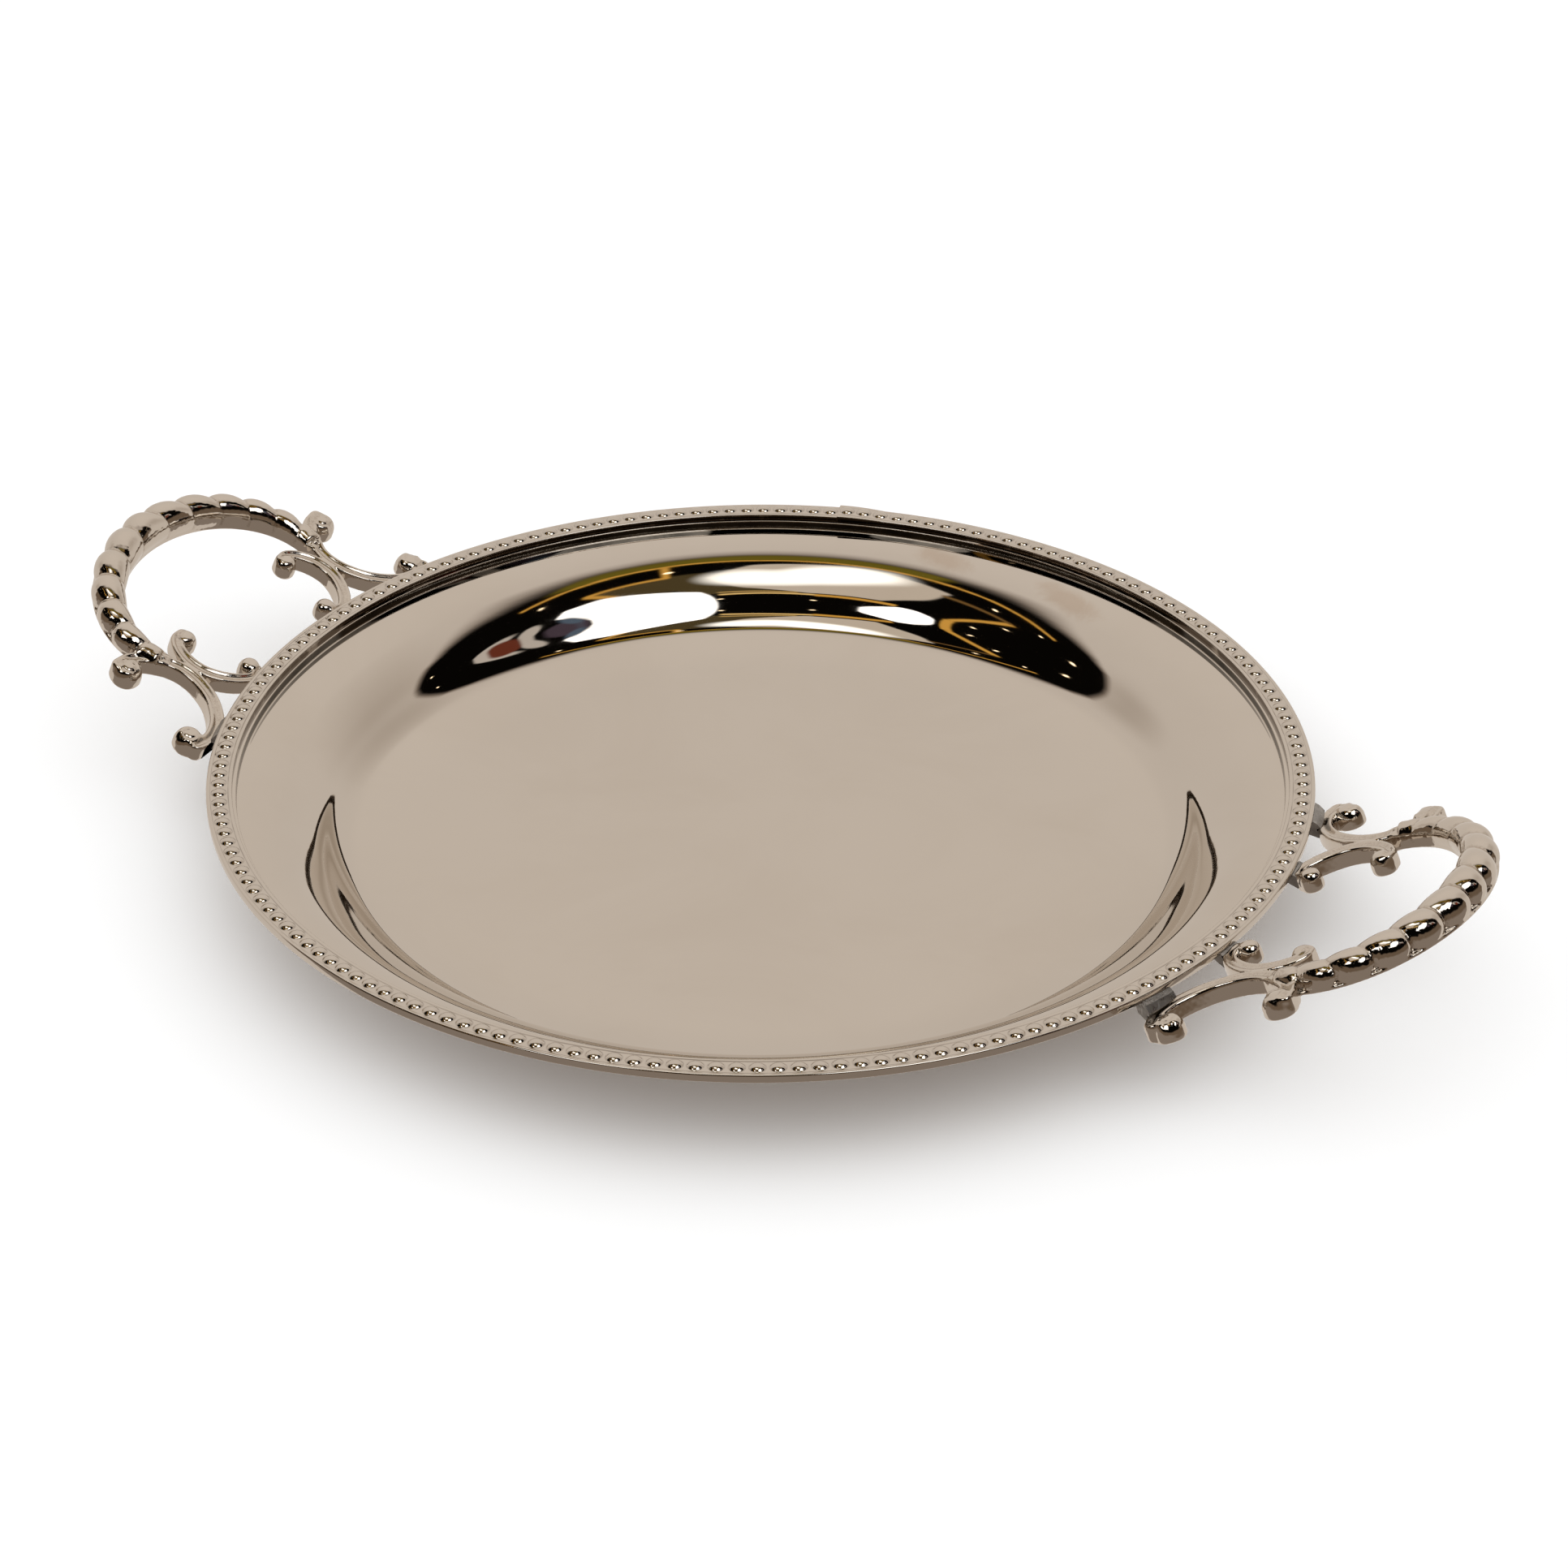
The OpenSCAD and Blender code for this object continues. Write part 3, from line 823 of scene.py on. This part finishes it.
# grey-brown shadows at the two sides of the backdrop
smudge = g.m("MAXIMUM", ellipse(52, -33, 13, 17, 10, 0.95), ellipse(-59, -27, 10, 12, -20, 0.95))
glow = g.mix(g.m("MULTIPLY", ellipse(4, -38, 34, 24, 0, 0.9), 0.55), ENV, tuple(1.16 * q for q in ENV[:3]) + (1.0,))
back = g.mix(g.m("MULTIPLY", smudge, 0.42), glow, (0.33, 0.27, 0.21, 1))
col = g.mix(dark, g.mix(g.m("MULTIPLY", shade, 0.7), back, BROWN), g.mix(low, BLACK, (0.16, 0.115, 0.08, 1)))

ORANGE = (0.75, 0.40, 0.075, 1)
DIM = (0.20, 0.11, 0.035, 1)
OLIVE = (0.16, 0.125, 0.014, 1)
WHITE = (2.3, 2.3, 2.3, 1)
inside = dark


def paint(mask, colour):
    global col
    col = g.mix(g.m("MULTIPLY", mask, inside), col, colour)


# warm cornice over the backdrop's edge
paint(polygon([(-20, -7), (-8, -7.5), (10, -7), (24, -4.5), (20, -1.4), (11, 0), (0, 0.6), (-9, -0.2), (-19, -2.6)], 1.2), OLIVE)
for a, b in (((-39.3, -9.7), (-29.9, -6.3)), ((-29.9, -6.3), (-18.9, -2.8)), ((-18.9, -2.8), (-9.4, -0.4)),
             ((-9.4, -0.4), (0, 0.4)), ((0, 0.4), (11, -0.4)), ((11, -0.4), (19.7, -1.8)), ((19.7, -1.8), (29.9, -3.9))):
    paint(line(a[0], a[1], b[0], b[1], 0.8, 0.4), ORANGE)
# brown room between the two windows
paint(polygon([(6, 6.6), (23.6, 3.9), (21.2, 10.4), (12, 15.5), (5, 17)], 0.6), (0.085, 0.062, 0.026, 1))
paint(polygon([(4, 14), (13, 14.5), (9, 24), (-3, 21)], 0.6), (0.085, 0.062, 0.026, 1))
# pale wall under a bright ceiling
paint(polygon([(-23.8, 0.6), (-10.2, 0.8), (1.2, 3.6), (7.1, 9.4), (5.9, 13.4), (2.8, 17.7),
               (-2.4, 20.5), (-7.9, 22.8), (-20.5, 19.7), (-24.2, 7)], 0.5), (0.66, 0.58, 0.49, 1))
paint(ellipse(-9.0, 7.4, 9.5, 4.6, 38, 0.4), (2.2, 2.2, 2.15, 1))
paint(ellipse(0.5, 11.2, 7.0, 4.4, -8, 0.4), (1.8, 1.8, 1.75, 1))
# gold bands
paint(line(-24.4, 21.4, -9.4, 25.0, 2.4), ORANGE)
paint(line(-9.4, 24.6, 7.4, 25.2, 1.6), (1.0, 0.68, 0.26, 1))
paint(line(-6.3, 22.6, 7.2, 22.2, 1.0), (0.7, 0.46, 0.16, 1))
paint(line(-35.4, -1.8, -35.8, 18.9, 1.7), ORANGE)
paint(line(-35.8, 18.9, -41, 31, 2.4), ORANGE)
paint(line(-35.4, -1.6, -23.6, 2.8, 1.0), DIM)
paint(line(11.4, 6.3, 23.6, 4.1, 0.9), ORANGE)
paint(line(23.2, 4.1, 21.0, 9.6, 1.3), ORANGE)
paint(line(10.2, 0, 11.8, 6.3, 0.9), ORANGE)
# the windows
paint(polygon([(16.5, 13.2), (22.8, 7.9), (29.1, 6.4), (34.0, 10.4), (34.4, 27), (30, 37), (9.4, 42), (8.8, 27.5), (9.8, 19.7)], 0.5), WHITE)
paint(polygon([(-37.8, 26.4), (-33.8, 22.8), (-29.1, 21.2), (-25.8, 22), (-22.8, 26.8), (-20.4, 31.5), (-19.6, 36), (-22, 42), (-43, 32)], 0.5), WHITE)
# things standing at the right
paint(ellipse(39.5, 21, 6.4, 5.4, 35, 0.2), (0.075, 0.055, 0.075, 1))
paint(ellipse(35.0, 17.4, 1.8, 5.0, -12, 0.4), (0.10, 0.14, 0.20, 1))
paint(ellipse(50.5, 3.4, 9.0, 2.6, -12, 0.2), (0.60, 0.55, 0.50, 1))
paint(ellipse(42.5, 11.0, 6.2, 2.4, 32, 0.2), (0.60, 0.55, 0.50, 1))
paint(ellipse(49.6, 8.4, 4.4, 5.4, -35, 0.2), (0.16, 0.038, 0.02, 1))
# point lights
for lx, ly, r in ((-51.9, -7.9, 1.7), (-38.9, -6.3, 0.8), (-29.9, -2.5, 0.8), (-39.3, 3.9, 1.1), (-52.7, 7.1, 0.9),
                  (-40.5, 16.1, 1.1), (28.5, -0.6, 0.8), (54.3, -13, 0.8), (10.7, 3.4, 1.0), (-10.2, 31.5, 1.0), (7.9, 30.7, 1.0)):
    paint(ellipse(lx, ly, r * 0.6, r * 0.42, 0, 0.5), (3.0, 2.4, 1.6, 1))

path = g.node("ShaderNodeLightPath")
plain = (1.13, 1.13, 1.13, 1)
final = g.mix(path.outputs["Is Glossy Ray"], plain, col)
bg = g.node("ShaderNodeBackground")
g.put(bg.inputs["Color"], final)
out = g.node("ShaderNodeOutputWorld")
g.l.new(bg.outputs[0], out.inputs["Surface"])

# ---- camera ----------------------------------------------------------------------
EL, ROLL, DIST = math.radians(31.138), math.radians(-0.102), 7.7695
ce, se = math.cos(EL), math.sin(EL)
right = np.array([1.0, 0, 0])
fwd = np.array([0, ce, -se])
up = np.array([0, se, ce])
loc = np.array([0.04187, -0.08896, 0.0]) - fwd * DIST
cr_, sr_ = math.cos(ROLL), math.sin(ROLL)
right, up = cr_ * right + sr_ * up, -sr_ * right + cr_ * up
yaw = math.radians(YAW)
RZ = np.array([[math.cos(yaw), -math.sin(yaw), 0], [math.sin(yaw), math.cos(yaw), 0], [0, 0, 1]])
loc = RZ @ (loc * R * MM) + np.array([0, 0, TOP * MM])
axes = np.stack([RZ @ right, RZ @ up, RZ @ -fwd], 1)
cam_data = bpy.data.cameras.new("camera")
cam_data.sensor_width = 36.0
cam_data.lens = 36.0 * 5334.34 / 1932.0
cam_data.clip_start, cam_data.clip_end = 0.05, 50.0
cam = bpy.data.objects.new("camera", cam_data)
bpy.context.scene.collection.objects.link(cam)
mw = Matrix.Identity(4)
for i in range(3):
    for j in range(3):
        mw[i][j] = axes[i][j]
    mw[i][3] = loc[i]
cam.matrix_world = mw
bpy.context.scene.camera = cam
bpy.context.scene.view_settings.view_transform = "Standard"
